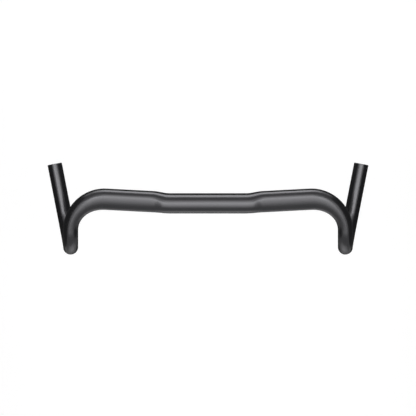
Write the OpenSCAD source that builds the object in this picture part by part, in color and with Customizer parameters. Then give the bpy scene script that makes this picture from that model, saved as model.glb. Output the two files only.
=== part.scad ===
// Drop handlebar for a gravel bicycle: one tube, bent, flattened and butted.
// It is drawn in its riding position, with the lower straights about level.
// Origin at the middle of the stem clamp, +X to the right hand,
// +Y back to the rider, +Z up. All sizes are in millimetres.

/* [Size of the bar] */
// Width across the hooks, centre to centre, at their foremost points
hook_width = 440; // [400:5:500]
// Reach, from the clamp centre forward to the foremost point of the hook centreline
reach = 70; // [62:1:80]
// Drop, from the clamp centre down to the centreline where the lower straights begin
drop = 115; // [105:1:130]
// Length of each straight lower part, from the end of its bend to the open end
lower_len = 79; // [60:1:100]

/* [Angles] */
// Backsweep of the tops
sweep = 3; // [1:0.5:6]
// Downward slope at the end of the top bend, where the hook begins
ramp_slope = 20; // [12:1:26]
// Flare, the lean of each hook out from upright
flare = 5; // [0:1:12]
// Outsweep, the turn of each lower part away from straight back
outsweep = 11; // [0:1:16]

/* [Stem clamp] */
// Diameter of the round middle part that the stem grips
clamp_dia = 31.8; // [30:0.1:33]
// Length of the straight round middle part
clamp_len = 116; // [90:2:124]
// Wall of the tube in the middle part
clamp_wall = 2.2; // [1.8:0.1:3]

/* [Tops] */
// Depth of the flattened tops, from their rear edge to their front edge
tops_depth = 33.5; // [28:0.5:40]
// Thickness of the flattened tops
tops_thick = 22; // [19:0.5:26]
// Height of the crest of the tops above the line through their front and rear edges
crest_height = 12.8; // [10:0.1:15]
// Distance of the crest behind the middle of the tops
crest_back = 3.9; // [0:0.1:6]
// Fullness of the front of the tops: 2 is a quarter of an ellipse, less is flatter
front_fullness = 1.65; // [1.5:0.05:2.2]
// Distance from the middle at which the swept line of the tops would cross the clamp axis
sweep_start = 36; // [26:1:46]
// Length over which the centreline runs from the clamp axis to the swept line
shift_len = 27; // [20:1:34]
// Distance from the end of the clamp part to where the section starts to change
flat_delay = 6; // [2:1:10]
// Length over which the round section turns into the oval one
flat_len = 25; // [18:1:32]

/* [Grips] */
// Diameter of the round tube in the hooks and the lower straights
tube_dia = 23.8; // [22.2:0.1:25]
// Wall of the tube outside the middle part
tube_wall = 1.5; // [1.2:0.1:2.2]
// Bend radius of the upper part of each hook, to the tube centreline
hook_radius = 41.5; // [36:0.5:46]
// Share of the top bend over which the oval turns into the round tube
taper_share = 0.95; // [0.8:0.05:1]
// Width of the chamfer round each open end
end_chamfer = 0.5; // [0.2:0.1:0.8]

/* [Hidden] */
$fn = 96;

// Each free-form stretch is a stack of rings. Both its ends reach this far into
// the turned surfaces that they join, and dip this far under them on the way.
root = 1;
dip = 0.3;
outer_sides = 44;
inner_sides = 24;

// Spacing of the rings: millimetres along the tops, degrees round the bends
blend_step = 3.1;
bend_step = 4.1;
hook_step = 6;

clamp_end = clamp_len / 2;
clamp_r = clamp_dia / 2;
tube_r = tube_dia / 2;
clamp_bore_r = clamp_r - clamp_wall;
tube_bore_r = tube_r - tube_wall;

// Directions: forward and down in the plane of the hook, along the tops,
// and along the ramp where the hook begins
hook_front = [0, -1, 0];
hook_down = [sin(flare), 0, -cos(flare)];
hook_axis = cross(hook_front, hook_down);
along_tops = [cos(sweep), sin(sweep), 0];
along_ramp = cos(ramp_slope) * hook_front + sin(ramp_slope) * hook_down;

// The top bend is one arc between the two lines. It is found from where the
// hook begins, by running the ramp line back up to the level of the tops.
hook_x = hook_width / 2 - hook_radius * cos(ramp_slope) * sin(flare);
hook_y = hook_radius * (1 - sin(ramp_slope)) - reach;
ramp_len = ((hook_x - sweep_start) * tan(sweep) - hook_y)
    / (cos(ramp_slope) + sin(ramp_slope) * sin(flare) * tan(sweep));
hook_z = -ramp_len * sin(ramp_slope) * cos(flare);
hook_top = [hook_x, hook_y, hook_z];
corner = hook_top - ramp_len * along_ramp;
bend_angle = acos(along_tops * along_ramp);
bend_radius = ramp_len / tan(bend_angle / 2);
bend_axis = unit(cross(along_tops, along_ramp));
bend_start = corner - ramp_len * along_tops;
bend_side = cross(bend_axis, along_tops);

// Foremost point of the hook, and the radius that is left for its lower part
front_z = hook_z - hook_radius * cos(ramp_slope) * cos(flare);
front = [hook_width / 2, -reach, front_z];
lower_radius = (drop + front_z) / (cos(flare) - sin(outsweep) * sin(flare));

function unit(v) = v / norm(v);
function ease(t) = t <= 0 ? 0 : t >= 1 ? 1 : t * t * (3 - 2 * t);
function mix(a, b, t) = a + (b - a) * t;
function turned(v, axis, angle) = v * cos(angle) + cross(axis, v) * sin(angle)
    + axis * (axis * v) * (1 - cos(angle));

// Centreline and heading of the tops, from the clamp to the bend
function tops_y(x) = (x - sweep_start) * tan(sweep) * ease((x - clamp_end) / shift_len);
function tops_heading(x) = atan((tops_y(x + 0.1) - tops_y(x - 0.1)) / 0.2);
function flat_at(x) = ease((x - clamp_end - flat_delay) / flat_len);

// A section is [rear, front, top and bottom extent from its crest line, fullness of the front]
function round_section(r) = [r, r, r, r, 2];
tops_section = [
    tops_depth / 2 - crest_back,
    tops_depth / 2 + crest_back,
    crest_height,
    tops_thick - crest_height,
    front_fullness
];
inward = [-1, -1, -1, -1, 0];

// A ring is [centre, backward direction, upward direction, section].
// cut is how far the ring lies inside the surface: nothing, or the wall for the cavity.
function tops_ring(x, cut) =
    let (h = tops_heading(x))
    [
        [x, tops_y(x), 0],
        [-sin(h), cos(h), 0],
        [0, 0, 1],
        mix(round_section(clamp_r), tops_section, flat_at(x)) + cut * inward
    ];

function bend_ring(share, cut) =
    let (a = bend_angle * share)
    [
        bend_start + bend_radius * (sin(a) * along_tops + (1 - cos(a)) * bend_side),
        turned([-sin(sweep), cos(sweep), 0], bend_axis, a),
        turned([0, 0, 1], bend_axis, a),
        mix(tops_section, round_section(tube_r), ease(share / taper_share)) + cut * inward
    ];

// slope runs from the ramp to 90 degrees, where the hook is foremost
function hook_ring(slope, cut) =
    let (last = bend_ring(1, cut), a = slope - ramp_slope)
    [
        front + hook_radius * ((sin(slope) - 1) * hook_front - cos(slope) * hook_down),
        turned(last[1], hook_axis, a),
        turned(last[2], hook_axis, a),
        round_section(tube_r - cut)
    ];

// Last ring of a stretch: a step past the ring given, and smaller by the dip
function end_ring(ring, step) = [ring[0] + step, ring[1], ring[2], ring[3] + dip * inward];

// All rings from inside the clamp part, along the top, round the top bend and down
// the front of the hook, to inside its lower bend. cut_a applies at the clamp and
// cut_b from the oval on. A larger spread means fewer rings.
function top_rings(cut_a, cut_b, spread) =
    let (
        blend_end = clamp_end + max(shift_len, flat_delay + flat_len),
        blends = ceil((blend_end - clamp_end) / (blend_step * spread)),
        bends = ceil(bend_angle / (bend_step * spread)),
        hooks = ceil((90 - ramp_slope) / (hook_step * spread)),
        hook_end = 90 - 360 * root / (2 * PI * hook_radius)
    )
    concat(
        [end_ring(tops_ring(clamp_end, cut_a), [-root, 0, 0])],
        [tops_ring(clamp_end + root, cut_a)],
        [for (i = [1:blends]) let (x = mix(clamp_end, blend_end, i / blends))
            tops_ring(x, mix(cut_a, cut_b, flat_at(x)))],
        [tops_ring(mix(blend_end, bend_start[0], 0.5), cut_b)],
        [for (i = [0:bends]) bend_ring(i / bends, cut_b)],
        [for (i = [1:hooks]) hook_ring(mix(ramp_slope, hook_end, i / hooks), cut_b)],
        [end_ring(hook_ring(90, cut_b), root * hook_down)]
    );

// Point of a ring at an angle from its rear edge. The centre is half-way along the depth.
function ring_point(ring, a) =
    let (
        s = ring[3],
        e = cos(a) < 0 ? 2 / s[4] : 1,
        depth = cos(a) < 0 ? -s[1] : s[0],
        height = sin(a) < 0 ? -s[3] : s[2],
        u = (s[1] - s[0]) / 2 + depth * pow(abs(cos(a)), e),
        v = height * pow(abs(sin(a)), e)
    )
    ring[0] + u * ring[1] + v * ring[2];

// Closed skin over a stack of rings
module stack(rings, sides) {
    last = len(rings) - 1;
    points = [for (r = rings) for (k = [0:sides - 1]) ring_point(r, 360 * k / sides)];
    walls = [for (i = [0:last - 1]) for (k = [0:sides - 1])
        let (n = (k + 1) % sides, a = i * sides, b = a + sides)
        for (side = [0, 1]) side == 0 ? [a + k, b + k, b + n] : [a + k, b + n, a + n]];
    ends = [
        [for (k = [0:sides - 1]) k],
        [for (k = [0:sides - 1]) last * sides + sides - 1 - k]
    ];
    polyhedron(points = points, faces = concat(walls, ends), convexity = 6);
}

// The lower part of the right-hand hook, from its foremost point, with the straight.
// past runs the straight on beyond the open end, which the cavity needs.
module grip(tube, past, chamfer) {
    translate(front)
        rotate([0, -flare, 0])
            rotate([0, 0, -outsweep]) {
                translate([0, lower_radius, 0])
                    rotate([0, 90, 0])
                        rotate([0, 0, 270])
                            rotate_extrude(angle = 90)
                                translate([lower_radius, 0])
                                    circle(r = tube);
                translate([0, lower_radius, -lower_radius])
                    rotate([-90, 0, 0]) {
                        cylinder(h = lower_len + past - chamfer, r = tube);
                        if (chamfer > 0)
                            translate([0, 0, lower_len - chamfer])
                                cylinder(h = chamfer, r1 = tube, r2 = tube - chamfer);
                    }
            }
}

module both_sides() {
    children();
    mirror([1, 0, 0])
        children();
}

// Outside of the bar, as if it were solid
module bar_outside() {
    rotate([0, 90, 0])
        cylinder(h = clamp_len, r = clamp_r, center = true);
    both_sides() {
        stack(top_rings(0, 0, 1), outer_sides);
        grip(tube_r, 0, end_chamfer);
    }
}

// Hollow of the bar, open at both ends
module bar_hollow() {
    rotate([0, 90, 0])
        cylinder(h = clamp_len, r = clamp_bore_r, center = true);
    both_sides() {
        stack(top_rings(clamp_wall, tube_wall, 1.9), inner_sides);
        grip(tube_bore_r, 1, 0);
    }
}

module handlebar() {
    color([0.09, 0.09, 0.095])
        difference() {
            bar_outside();
            bar_hollow();
        }
}

handlebar();
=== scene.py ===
import math

import bpy
from mathutils import Matrix, Vector


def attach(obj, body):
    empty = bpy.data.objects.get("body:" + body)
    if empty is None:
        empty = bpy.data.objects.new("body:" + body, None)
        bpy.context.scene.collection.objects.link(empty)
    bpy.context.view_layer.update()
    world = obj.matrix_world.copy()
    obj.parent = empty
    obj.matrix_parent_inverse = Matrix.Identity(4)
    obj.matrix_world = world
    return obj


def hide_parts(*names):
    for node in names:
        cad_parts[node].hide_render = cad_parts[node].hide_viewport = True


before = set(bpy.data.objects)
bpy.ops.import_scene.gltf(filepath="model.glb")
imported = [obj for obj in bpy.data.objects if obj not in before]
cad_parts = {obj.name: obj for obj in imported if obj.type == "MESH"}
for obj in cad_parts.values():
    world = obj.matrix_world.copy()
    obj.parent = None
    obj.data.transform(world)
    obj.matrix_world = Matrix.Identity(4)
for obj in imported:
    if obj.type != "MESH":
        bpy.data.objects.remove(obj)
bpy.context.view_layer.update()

# A gravel drop handlebar: one bent tube in satin black, with a small centre scale.
# Metres, in the frame of the CAD model: the origin is at the middle of the stem
# clamp part, +X points to the right hand, +Y back to the rider and +Z up.

MM = 0.001


# Sizes: the same driving sizes as the CAD model

# The whole bar: width between the hooks at their foremost points, reach, drop and
# the length of the straight lower part
HOOK_WIDTH = 440 * MM
REACH = 70 * MM
DROP = 115 * MM
LOWER_LEN = 79 * MM

# The directions: backsweep of the tops, slope of the ramp, flare of the hooks and
# outsweep of the lower parts
SWEEP = math.radians(3)
RAMP_SLOPE = math.radians(20)
FLARE = math.radians(5)
OUTSWEEP = math.radians(11)

# The round part that the stem clamps
CLAMP_R = 31.8 / 2 * MM
CLAMP_END = 116 / 2 * MM
CLAMP_WALL = 2.2 * MM

# The wing section of the tops: its crest lies above the line through its edges and
# behind the middle. A fullness of 2 is an ellipse, and less is flatter.
TOPS_DEPTH = 33.5 * MM
TOPS_THICK = 22 * MM
CREST_HEIGHT = 12.8 * MM
CREST_BACK = 3.9 * MM
FRONT_FULLNESS = 1.65

# Where the line of the tops would leave the middle line, the length over which the
# centre moves onto it, and the delay and length of the change to the wing section
SWEEP_START = 36 * MM
SHIFT_LEN = 27 * MM
FLAT_DELAY = 6 * MM
FLAT_LEN = 25 * MM

# The round tube of the ramps, hooks and lower parts. TAPER_SHARE is the share of the
# top bend over which the wing section turns round.
TUBE_R = 23.8 / 2 * MM
TUBE_WALL = 1.5 * MM
HOOK_RADIUS = 41.5 * MM
TAPER_SHARE = 0.95
END_CHAMFER = 0.5 * MM


# Centreline

def ease(t):
    """0 up to t = 0, 1 from t = 1 on, and a soft step between them."""
    t = min(max(t, 0.0), 1.0)
    return t * t * (3 - 2 * t)


def mix(first, second, share):
    return first + (second - first) * share


def turned(vector, axis, angle):
    """The vector turned by angle round an axis of length 1."""
    cosine, sine = math.cos(angle), math.sin(angle)
    return vector * cosine + axis.cross(vector) * sine + axis * axis.dot(vector) * (1 - cosine)


UP = Vector((0, 0, 1))
HOOK_FRONT = Vector((0, -1, 0))
HOOK_DOWN = Vector((math.sin(FLARE), 0, -math.cos(FLARE)))
HOOK_AXIS = HOOK_FRONT.cross(HOOK_DOWN)
HOOK_OUT = Vector((math.cos(FLARE), 0, math.sin(FLARE)))
ALONG_TOPS = Vector((math.cos(SWEEP), math.sin(SWEEP), 0))
ALONG_RAMP = math.cos(RAMP_SLOPE) * HOOK_FRONT + math.sin(RAMP_SLOPE) * HOOK_DOWN
ALONG_LOWER = math.cos(OUTSWEEP) * -HOOK_FRONT + math.sin(OUTSWEEP) * HOOK_OUT

# The top bend: one arc between the line of the tops and the line of the ramp
hook_x = HOOK_WIDTH / 2 - HOOK_RADIUS * math.cos(RAMP_SLOPE) * math.sin(FLARE)
hook_y = HOOK_RADIUS * (1 - math.sin(RAMP_SLOPE)) - REACH
ramp_len = ((hook_x - SWEEP_START) * math.tan(SWEEP) - hook_y) / (
    math.cos(RAMP_SLOPE) + math.sin(RAMP_SLOPE) * math.sin(FLARE) * math.tan(SWEEP)
)
hook_z = -ramp_len * math.sin(RAMP_SLOPE) * math.cos(FLARE)
corner = Vector((hook_x, hook_y, hook_z)) - ramp_len * ALONG_RAMP
bend_angle = math.acos(ALONG_TOPS.dot(ALONG_RAMP))
bend_radius = ramp_len / math.tan(bend_angle / 2)
bend_axis = ALONG_TOPS.cross(ALONG_RAMP).normalized()
bend_start = corner - ramp_len * ALONG_TOPS
bend_side = bend_axis.cross(ALONG_TOPS)

# The hook: an upper arc to its foremost point, a lower arc turned by the
# outsweep, and the straight lower part
front_z = hook_z - HOOK_RADIUS * math.cos(RAMP_SLOPE) * math.cos(FLARE)
front = Vector((HOOK_WIDTH / 2, -REACH, front_z))
lower_radius = (DROP + front_z) / (math.cos(FLARE) - math.sin(OUTSWEEP) * math.sin(FLARE))
lower_axis = HOOK_DOWN.cross(ALONG_LOWER).normalized()
lower_start = front + lower_radius * (ALONG_LOWER + HOOK_DOWN)


def tops_y(x):
    """How far back the centre of the tops lies at a distance x from the middle."""
    return (x - SWEEP_START) * math.tan(SWEEP) * ease((x - CLAMP_END) / SHIFT_LEN)


# A profile is its extent to the rear, front, top and bottom from the crest line, and
# the fullness of its front half.

def round_profile(radius):
    return (radius, radius, radius, radius, 2)


TOPS_PROFILE = (
    TOPS_DEPTH / 2 - CREST_BACK,
    TOPS_DEPTH / 2 + CREST_BACK,
    CREST_HEIGHT,
    TOPS_THICK - CREST_HEIGHT,
    FRONT_FULLNESS,
)


def blended(first, second, share, cut):
    """A profile between two others, moved inwards by cut."""
    *extents, fullness = [mix(a, b, share) for a, b in zip(first, second)]
    return tuple(extent - cut for extent in extents) + (fullness,)


# A section is its centre, its backward and upward directions and its profile. cut is
# how far it lies inside the outer surface.

def tops_section(x, cut_clamp, cut_tube):
    """Across the clamp part and the tops, at a distance x from the middle."""
    step = 0.1 * MM
    heading = math.atan((tops_y(x + step) - tops_y(x - step)) / (2 * step))
    share = ease((x - CLAMP_END - FLAT_DELAY) / FLAT_LEN)
    cut = mix(cut_clamp, cut_tube, share)
    profile = blended(round_profile(CLAMP_R), TOPS_PROFILE, share, cut)
    back = Vector((-math.sin(heading), math.cos(heading), 0))
    return Vector((x, tops_y(x), 0)), back, UP, profile


def bend_section(share, cut):
    """Across the top bend, at a share of its arc."""
    angle = bend_angle * share
    aside = math.sin(angle) * ALONG_TOPS + (1 - math.cos(angle)) * bend_side
    back = Vector((-math.sin(SWEEP), math.cos(SWEEP), 0))
    profile = blended(TOPS_PROFILE, round_profile(TUBE_R), ease(share / TAPER_SHARE), cut)
    return (
        bend_start + bend_radius * aside,
        turned(back, bend_axis, angle),
        turned(UP, bend_axis, angle),
        profile,
    )


def hook_section(slope, cut):
    """Across the upper arc of the hook, where it slopes down by this angle."""
    _, back, up, profile = bend_section(1, cut)
    angle = slope - RAMP_SLOPE
    from_front = (math.sin(slope) - 1) * HOOK_FRONT - math.cos(slope) * HOOK_DOWN
    return (
        front + HOOK_RADIUS * from_front,
        turned(back, HOOK_AXIS, angle),
        turned(up, HOOK_AXIS, angle),
        profile,
    )


def lower_section(angle, cut):
    """Across the lower arc of the hook, turned by angle from its foremost point."""
    _, back, up, profile = hook_section(math.pi / 2, cut)
    from_front = (1 - math.cos(angle)) * ALONG_LOWER + math.sin(angle) * HOOK_DOWN
    return (
        front + lower_radius * from_front,
        turned(back, lower_axis, angle),
        turned(up, lower_axis, angle),
        profile,
    )


def straight_section(distance, cut):
    """Across the straight lower part, at a distance from where it begins."""
    _, back, up, profile = lower_section(math.pi / 2, cut)
    return lower_start + distance * ALONG_LOWER, back, up, profile


def spaced(length, spacing):
    """Even shares from above 0 to 1, no further apart than spacing along this length."""
    steps = max(1, math.ceil(length / spacing))
    return [step / steps for step in range(1, steps + 1)]


def half_sections(cut_clamp, cut_tube, spacing, end):
    """Sections of the right half, from the middle of the bar to end along the straight."""
    bent_spacing = spacing / 2
    change = FLAT_DELAY + FLAT_LEN
    tops_start = CLAMP_END + change
    tops_len = bend_start.x - tops_start
    hook = math.pi / 2 - RAMP_SLOPE
    quarter = math.pi / 2

    tops_places = [0]
    tops_places += [CLAMP_END * t for t in spaced(CLAMP_END, spacing)]
    tops_places += [CLAMP_END + change * t for t in spaced(change, bent_spacing)]
    tops_places += [tops_start + tops_len * t for t in spaced(tops_len, spacing)[:-1]]
    bend_shares = [0] + spaced(bend_radius * bend_angle, bent_spacing)
    slopes = [RAMP_SLOPE + hook * t for t in spaced(HOOK_RADIUS * hook, bent_spacing)]
    angles = [quarter * t for t in spaced(lower_radius * quarter, bent_spacing)]

    sections = [tops_section(x, cut_clamp, cut_tube) for x in tops_places]
    sections += [bend_section(share, cut_tube) for share in bend_shares]
    sections += [hook_section(slope, cut_tube) for slope in slopes]
    sections += [lower_section(angle, cut_tube) for angle in angles]
    sections += [straight_section(end * t, cut_tube) for t in spaced(end, spacing)]
    return sections


# The tube: one closed skin of rings, over the outside and back through the inside.
# Rings stand half as far apart where the tube bends. EDGE is a fine chamfer on the
# inner edge of each open end.

SIDES = 96
OUTER_SPACING = 5 * MM
INNER_SPACING = 9 * MM
EDGE = 0.06 * MM
SHARP_ANGLE = math.radians(30)


def ring(section, mirrored):
    """The points round a section, on the right half or mirrored to the left."""
    centre, back, up, (rear, front_half, top, bottom, fullness) = section
    points = []
    for side in range(SIDES):
        angle = 2 * math.pi * side / SIDES
        cosine, sine = math.cos(angle), math.sin(angle)
        power = 2 / fullness if cosine < 0 else 1
        depth = -front_half if cosine < 0 else rear
        height = -bottom if sine < 0 else top
        backward = (front_half - rear) / 2 + depth * abs(cosine) ** power
        upward = height * abs(sine) ** power
        point = centre + backward * back + upward * up
        points.append((-point.x, point.y, point.z) if mirrored else tuple(point))
    return points


def tube_rings():
    """All rings in order: outside from left to right, then inside back to the left."""
    lip = straight_section(LOWER_LEN, END_CHAMFER)
    mouth = straight_section(LOWER_LEN, TUBE_WALL - EDGE)
    outer = half_sections(0, 0, OUTER_SPACING, LOWER_LEN - END_CHAMFER) + [lip]
    inner = half_sections(CLAMP_WALL, TUBE_WALL, INNER_SPACING, LOWER_LEN - EDGE) + [mouth]
    rings = [ring(section, True) for section in outer[::-1]]
    rings += [ring(section, False) for section in outer[1:]]
    rings += [ring(section, False) for section in inner[::-1]]
    rings += [ring(section, True) for section in inner[1:]]
    return rings


def new_object(name, points, faces, material):
    mesh = bpy.data.meshes.new(name)
    mesh.from_pydata(points, [], faces)
    mesh.update()
    mesh.materials.append(material)
    obj = bpy.data.objects.new(name, mesh)
    bpy.context.scene.collection.objects.link(obj)
    return obj


def tube(name, material):
    rings = tube_rings()
    faces = []
    for number in range(len(rings)):
        here = number * SIDES
        there = (number + 1) % len(rings) * SIDES
        for side in range(SIDES):
            after = (side + 1) % SIDES
            faces.append((here + side, here + after, there + after, there + side))
    obj = new_object(name, [point for points in rings for point in points], faces, material)
    obj.data.shade_smooth()
    obj.data.set_sharp_from_angle(angle=SHARP_ANGLE)
    return obj


# Shader nodes

def node_tree(owner):
    """The emptied node tree of a material or world."""
    owner.use_nodes = True
    tree = owner.node_tree
    tree.nodes.clear()
    return tree


def add(tree, kind, **inputs):
    """A new node, with its input sockets set to values or linked to output sockets."""
    node = tree.nodes.new(kind)
    for name, value in inputs.items():
        fill(tree, node.inputs[name.replace("_", " ")], value)
    return node


def fill(tree, socket, value):
    if isinstance(value, bpy.types.NodeSocket):
        tree.links.new(value, socket)
    else:
        socket.default_value = value


def math_node(tree, operation, *values):
    node = tree.nodes.new("ShaderNodeMath")
    node.operation = operation
    for socket, value in zip(node.inputs, values):
        fill(tree, socket, value)
    return node.outputs["Value"]


def new_material(name, make_surface):
    """A material whose surface is the output socket that make_surface builds in its tree."""
    material = bpy.data.materials.new(name)
    tree = node_tree(material)
    out = tree.nodes.new("ShaderNodeOutputMaterial")
    tree.links.new(make_surface(tree), out.inputs["Surface"])
    return material


# The finish: satin black anodising over a finely blasted surface. The grain is the
# blasting, and the cloud varies the roughness a little from place to place.

BLACK = (0.012, 0.012, 0.013, 1)
SHEEN_TINT = (0.96, 0.955, 1, 1)
IOR = 1.82
ROUGHNESS = 0.235
ROUGHNESS_SPREAD = 0.015
GRAIN_SCALE = 1800
GRAIN_DETAIL = 3
GRAIN_STRENGTH = 0.12
GRAIN_DEPTH = 0.05 * MM
CLOUD_SCALE = 45
CLOUD_DETAIL = 4

# The printed scale at the middle of the rear face of the clamp part
TICK_GREY = (0.25, 0.25, 0.25, 1)
TICK_COUNT = 5
TICK_SPACING = 2 * MM
TICK_WIDTH = 0.35 * MM
TICK_LOW, TICK_HIGH = -4 * MM, 7 * MM


def centre_scale(tree, position):
    """1 on the printed centre scale, a row of fine ticks, and 0 off it."""
    place = add(tree, "ShaderNodeSeparateXYZ", Vector=position)
    x, y, z = (place.outputs[axis] for axis in "XYZ")
    turns = math_node(tree, "ADD", math_node(tree, "DIVIDE", x, TICK_SPACING), 0.5)
    offset = math_node(tree, "SUBTRACT", math_node(tree, "FRACT", turns), 0.5)
    half_tick = TICK_WIDTH / TICK_SPACING / 2
    half_scale = TICK_COUNT / 2 * TICK_SPACING
    tests = [
        math_node(tree, "LESS_THAN", math_node(tree, "ABSOLUTE", offset), half_tick),
        math_node(tree, "LESS_THAN", math_node(tree, "ABSOLUTE", x), half_scale),
        math_node(tree, "GREATER_THAN", y, 0),
        math_node(tree, "GREATER_THAN", z, TICK_LOW),
        math_node(tree, "LESS_THAN", z, TICK_HIGH),
    ]
    mask = tests[0]
    for test in tests[1:]:
        mask = math_node(tree, "MULTIPLY", mask, test)
    return mask


def noise(tree, position, scale, detail):
    node = add(tree, "ShaderNodeTexNoise", Vector=position, Scale=scale, Detail=detail)
    return node.outputs["Fac"]


def black_alloy(tree):
    position = tree.nodes.new("ShaderNodeTexCoord").outputs["Object"]
    rough = add(
        tree, "ShaderNodeMapRange",
        Value=noise(tree, position, CLOUD_SCALE, CLOUD_DETAIL),
        To_Min=ROUGHNESS - ROUGHNESS_SPREAD,
        To_Max=ROUGHNESS + ROUGHNESS_SPREAD,
    )
    bump = add(
        tree, "ShaderNodeBump",
        Strength=GRAIN_STRENGTH,
        Distance=GRAIN_DEPTH,
        Height=noise(tree, position, GRAIN_SCALE, GRAIN_DETAIL),
    )
    colour = add(
        tree, "ShaderNodeMixRGB",
        Fac=centre_scale(tree, position), Color1=BLACK, Color2=TICK_GREY,
    )
    shader = add(
        tree, "ShaderNodeBsdfPrincipled",
        Base_Color=colour.outputs["Color"],
        Roughness=rough.outputs["Result"],
        IOR=IOR,
        Specular_Tint=SHEEN_TINT,
        Normal=bump.outputs["Normal"],
    )
    return shader.outputs["BSDF"]


bar = tube("bar_tube", new_material("black_alloy_satin", black_alloy))
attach(bar, "root")
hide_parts("handlebar")


# Studio: a white floor and surroundings, soft boxes, and a black tent with a dark
# grey cloth under the bar, as a photographer sets up round a glossy black object

WHITE = (1, 1, 1, 1)
AMBIENT = 0.03
FLOOR_HALF_SIDE = 6
FLOOR_Z = -0.90
FLOOR_COLOUR = (0.5, 0.5, 0.5, 1)
FLOOR_GLOW = 0.63
TENT_HALF_SIDE = 3.2
TENT_LOW = FLOOR_Z + 0.02
TENT_HIGH = 3.2
TENT_GLOW = 0.02
CLOTH_GLOW = 0.05


def sees_background(tree):
    """1 for the rays that show the background: camera, glossy and transmission rays."""
    path = tree.nodes.new("ShaderNodeLightPath")
    seen = math_node(tree, "MAXIMUM", path.outputs["Is Camera Ray"], path.outputs["Is Glossy Ray"])
    return math_node(tree, "MAXIMUM", seen, path.outputs["Is Transmission Ray"])


def floor_white(tree):
    """White from above and clear from below, so that the underside of the bar shows."""
    glow = math_node(tree, "MULTIPLY", sees_background(tree), FLOOR_GLOW)
    diffuse = add(tree, "ShaderNodeBsdfDiffuse", Color=FLOOR_COLOUR)
    emission = add(tree, "ShaderNodeEmission", Color=WHITE, Strength=glow)
    both = tree.nodes.new("ShaderNodeAddShader")
    tree.links.new(diffuse.outputs["BSDF"], both.inputs[0])
    tree.links.new(emission.outputs["Emission"], both.inputs[1])
    below = tree.nodes.new("ShaderNodeNewGeometry").outputs["Backfacing"]
    clear = tree.nodes.new("ShaderNodeBsdfTransparent")
    surface = add(tree, "ShaderNodeMixShader", Fac=below)
    tree.links.new(both.outputs["Shader"], surface.inputs[1])
    tree.links.new(clear.outputs["BSDF"], surface.inputs[2])
    return surface.outputs["Shader"]


def white_world():
    """White to the rays that show it, and nearly dark as a light."""
    world = bpy.data.worlds.new("studio")
    bpy.context.scene.world = world
    tree = node_tree(world)
    shown = math_node(tree, "MULTIPLY", sees_background(tree), 1 - AMBIENT)
    strength = math_node(tree, "ADD", shown, AMBIENT)
    sky = add(tree, "ShaderNodeBackground", Color=WHITE, Strength=strength)
    out = tree.nodes.new("ShaderNodeOutputWorld")
    tree.links.new(sky.outputs["Background"], out.inputs["Surface"])


SQUARE_FACE = (0, 1, 3, 2)


def square(half_side, z):
    """The corners of a level square round the Z axis, which SQUARE_FACE joins face up."""
    return [(x, y, z) for y in (-half_side, half_side) for x in (-half_side, half_side)]


white_world()
floor = new_object(
    "floor", square(FLOOR_HALF_SIDE, 0), [SQUARE_FACE], new_material("floor_white", floor_white)
)
floor.location.z = FLOOR_Z


# The soft boxes stand on arches round the bar, in rows from side to side. An angle
# along an arch is measured from straight up, front negative and rear positive, and
# an angle aside is measured from the middle plane, all in degrees. A row has a
# middle box and two pairs beside it, and shares give their strengths from the
# middle out. Strengths are radiances: a white sky of 1 all round would show white
# as 1.

COLUMNS = ((-14, 14), (14, 28), (28, 46))
ARCH_RADIUS = 2.0
FRONT_RADIUS = 1.1
UNDER_RADIUS = 0.95
FILL = 0.33

# The bank over the bar: rows of 10 degrees where it changes, and wider ones beyond
OVERHEAD_EDGES = (-95, -75, *range(-55, 50, 10), 60, 75)
OVERHEAD = 3.0
OVERHEAD_SHARES = {"front": (1, 1.2, 0.3), "rear": (1, 0.5, 0.1)}
FADE_END = {"front": 54, "rear": 38}

# The row behind the bar at its own height, the row low in front of it, and the row
# that goes on below that one with the fill
BACK_ROW = (75, 105)
FRONT_ROW = (-130, -95)
UNDER_ROW = (-150, -130)
BACK = 3.0
LOW_FRONT = 0.95
LOW_SHARES = (1, 0.7, 0.3)


def direction(along, aside):
    """The direction from the bar at these angles in degrees."""
    a, b = math.radians(along), math.radians(aside)
    return Vector((math.sin(b), math.cos(b) * math.sin(a), math.cos(b) * math.cos(a)))


def soft_box(name, row, columns, side, radiance, distance):
    """An area light at distance from the bar, which shows it an even radiance."""
    along, aside = sum(row) / 2, sum(columns) / 2 * side
    light = bpy.data.lights.new(name, "AREA")
    light.shape = "RECTANGLE"
    light.size = distance * math.radians(columns[1] - columns[0])
    light.size_y = distance * math.radians(row[1] - row[0]) * math.cos(math.radians(aside))
    light.energy = radiance * math.pi * light.size * light.size_y
    obj = bpy.data.objects.new(name, light)
    bpy.context.scene.collection.objects.link(obj)
    middle = direction(along, aside)
    across = (direction(along, aside + 1) - direction(along, aside - 1)).normalized()
    pose = Matrix((across, middle.cross(across), middle)).transposed().to_4x4()
    pose.translation = middle * distance
    obj.matrix_world = pose
    obj.visible_camera = False


def soft_row(name, row, radiances, distance):
    """One row of an arch: a middle box, and a box on each side for each further column."""
    for number, (columns, radiance) in enumerate(zip(COLUMNS, radiances)):
        sides = (1, -1) if number else (1,)
        for side in sides:
            soft_box(f"{name}_{number}_{side}", row, columns, side, radiance, distance)


def overhead_radiances(along):
    """The bank over the bar is brightest straight above it and fades evenly to the fill."""
    half = "rear" if along > 0 else "front"
    fade = max(0, 1 - abs(along) / FADE_END[half])
    return [FILL + OVERHEAD * fade * share for share in OVERHEAD_SHARES[half]]


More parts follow.
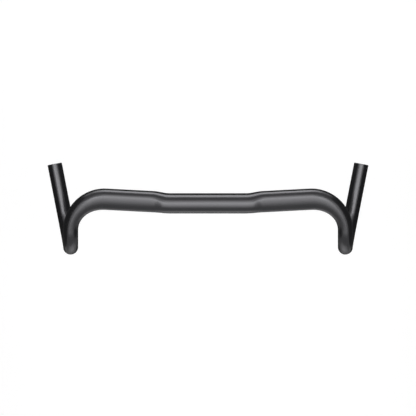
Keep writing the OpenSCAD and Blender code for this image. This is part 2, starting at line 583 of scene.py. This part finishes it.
for row in zip(OVERHEAD_EDGES, OVERHEAD_EDGES[1:]):
    soft_row(f"overhead_{row[1]}", row, overhead_radiances(sum(row) / 2), ARCH_RADIUS)
soft_row("back", BACK_ROW, [BACK * share for share in LOW_SHARES], ARCH_RADIUS)
soft_row("low_front", FRONT_ROW, [LOW_FRONT * share for share in LOW_SHARES], FRONT_RADIUS)
soft_row("low_fill", UNDER_ROW, [FILL] * len(COLUMNS), UNDER_RADIUS)


def tent_part(name, corners, faces, glow):
    """A dark stage piece that shows in reflections only, between the soft boxes."""
    def dark(tree):
        return add(tree, "ShaderNodeEmission", Color=(glow, glow, glow, 1)).outputs["Emission"]

    part = new_object(name, corners, faces, new_material(name, dark))
    part.visible_camera = False
    part.visible_diffuse = False
    part.visible_transmission = False
    part.visible_volume_scatter = False
    part.visible_shadow = False


TENT_FACES = [(4, 6, 7, 5), (0, 4, 5, 1), (2, 3, 7, 6), (0, 2, 6, 4), (1, 5, 7, 3)]
tent_foot = square(TENT_HALF_SIDE, TENT_LOW)
tent_top = square(TENT_HALF_SIDE, TENT_HIGH)
tent_part("black_tent", tent_foot + tent_top, TENT_FACES, TENT_GLOW)
tent_part("dark_cloth", tent_foot, [SQUARE_FACE], CLOTH_GLOW)


# Camera: 2.38 m above the bar. Without a rotation it looks straight down, with the
# rider's side at the top of the picture.

IMAGE_PX = 416
FOCAL_PX = 1524.3
SENSOR_MM = 36.0
CAMERA_HEIGHT = 2.384
CAMERA_Y = -0.00726
CLIP_START, CLIP_END = 0.01, 50

camera_data = bpy.data.cameras.new("camera")
camera_data.sensor_fit = "HORIZONTAL"
camera_data.sensor_width = SENSOR_MM
camera_data.lens = FOCAL_PX * SENSOR_MM / IMAGE_PX
camera_data.clip_start = CLIP_START
camera_data.clip_end = CLIP_END
camera = bpy.data.objects.new("camera", camera_data)
bpy.context.scene.collection.objects.link(camera)
camera.location = (0, CAMERA_Y, CAMERA_HEIGHT)
bpy.context.scene.camera = camera
bpy.context.scene.view_settings.view_transform = "Standard"
